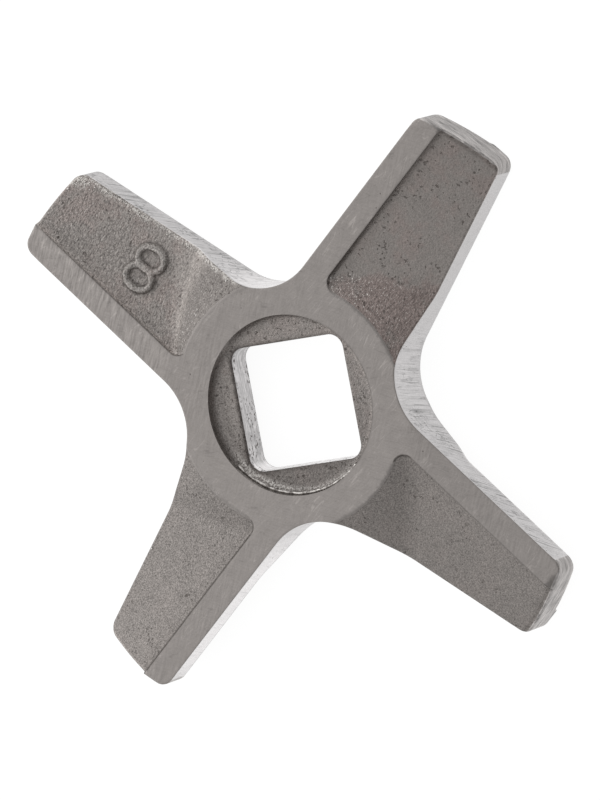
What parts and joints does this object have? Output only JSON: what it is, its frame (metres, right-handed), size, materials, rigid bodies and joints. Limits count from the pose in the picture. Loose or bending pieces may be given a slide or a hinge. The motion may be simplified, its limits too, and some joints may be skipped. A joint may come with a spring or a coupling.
{
  "type": "meat grinder knife",
  "caption": "Flat cross-shaped meat grinder knife with tapering blades, a ground cutting land beside a sloping pocket on each face, and a square drive hole in a round recess.",
  "frame": {"origin": "on the axis of the square hole, in the plane of the lower ground face", "axes": "+Z along the axis of rotation, towards the upper ground face; +X and +Y square to the flats of the drive hole, so each blade points along a diagonal"},
  "size_m": [0.0424, 0.0424, 0.005],
  "materials": {
    "cast_steel": "sand cast pockets and recess, surface-ground ring and lands, side walls and tips ground across"
  },
  "bodies": {
    "root": {"knife": "cast_steel"}
  },
  "joints": []
}
